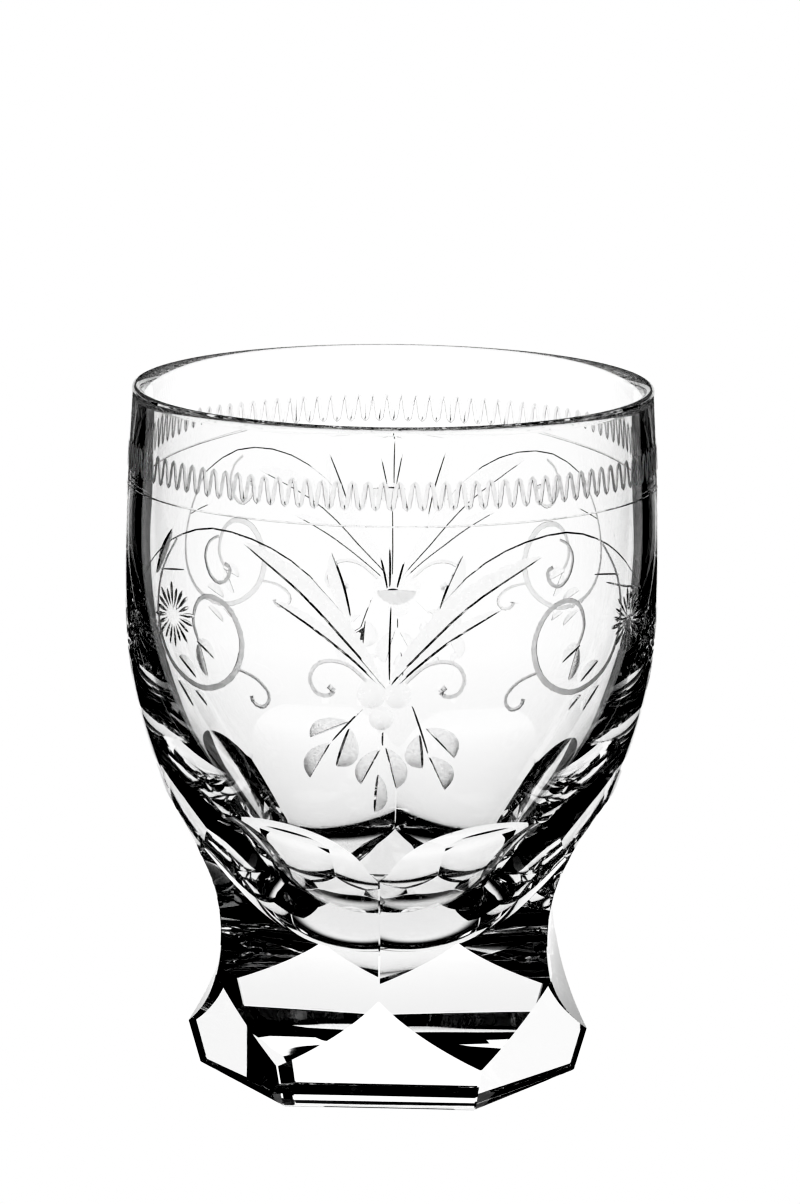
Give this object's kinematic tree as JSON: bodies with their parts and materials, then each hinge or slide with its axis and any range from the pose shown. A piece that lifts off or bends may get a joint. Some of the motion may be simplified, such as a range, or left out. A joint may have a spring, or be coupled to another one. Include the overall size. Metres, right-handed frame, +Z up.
{
  "type": "whisky tumbler",
  "caption": "Waisted crystal drinking tumbler: a round blown bowl with a rounded rim, fluted down through a narrow waist onto a solid six-sided cut foot.",
  "frame": {"origin": "centre of the flat rest face under the foot", "axes": "+Z up along the axis of the bowl; -Y points to the front, through one ridge between two flutes"},
  "size_m": [0.0768, 0.0768, 0.101],
  "materials": {
    "bowl_crystal": "fire-polished clear crystal, engraved on the outside",
    "foot_crystal": "cut and polished clear crystal"
  },
  "bodies": {
    "root": {"bowl": "bowl_crystal", "foot": "foot_crystal"}
  },
  "joints": []
}
